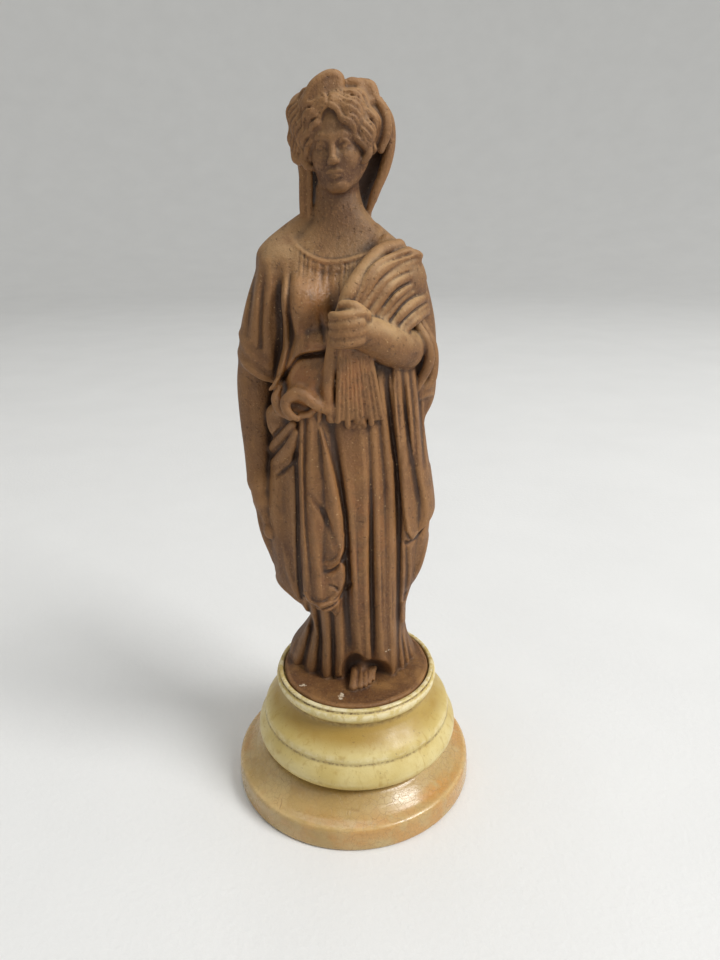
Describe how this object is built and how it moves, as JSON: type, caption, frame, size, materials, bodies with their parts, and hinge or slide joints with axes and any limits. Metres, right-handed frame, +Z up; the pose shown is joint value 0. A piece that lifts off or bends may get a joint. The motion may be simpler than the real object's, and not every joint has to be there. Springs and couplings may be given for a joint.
{
  "type": "clay figurine",
  "caption": "Terracotta figurine of a standing robed woman holding a sheaf over one shoulder, on a turned socle moulding and a glazed base disc.",
  "frame": {"origin": "centre of the underside of the base disc", "axes": "+Z up the figure, -Y the way it faces, +X to the viewer's right"},
  "size_m": [0.112, 0.112, 0.302],
  "materials": {
    "terracotta": "matte fired clay with dark patina in the hollows and warm rubs on the high places",
    "cream_paint": "satin cream, ochre in the neck, dirt in the creases",
    "crackle_glaze": "glossy beige with a fine crackle"
  },
  "bodies": {
    "root": {"figurine": "terracotta", "socle_moulding": "cream_paint", "base_disc": "crackle_glaze"}
  },
  "joints": []
}
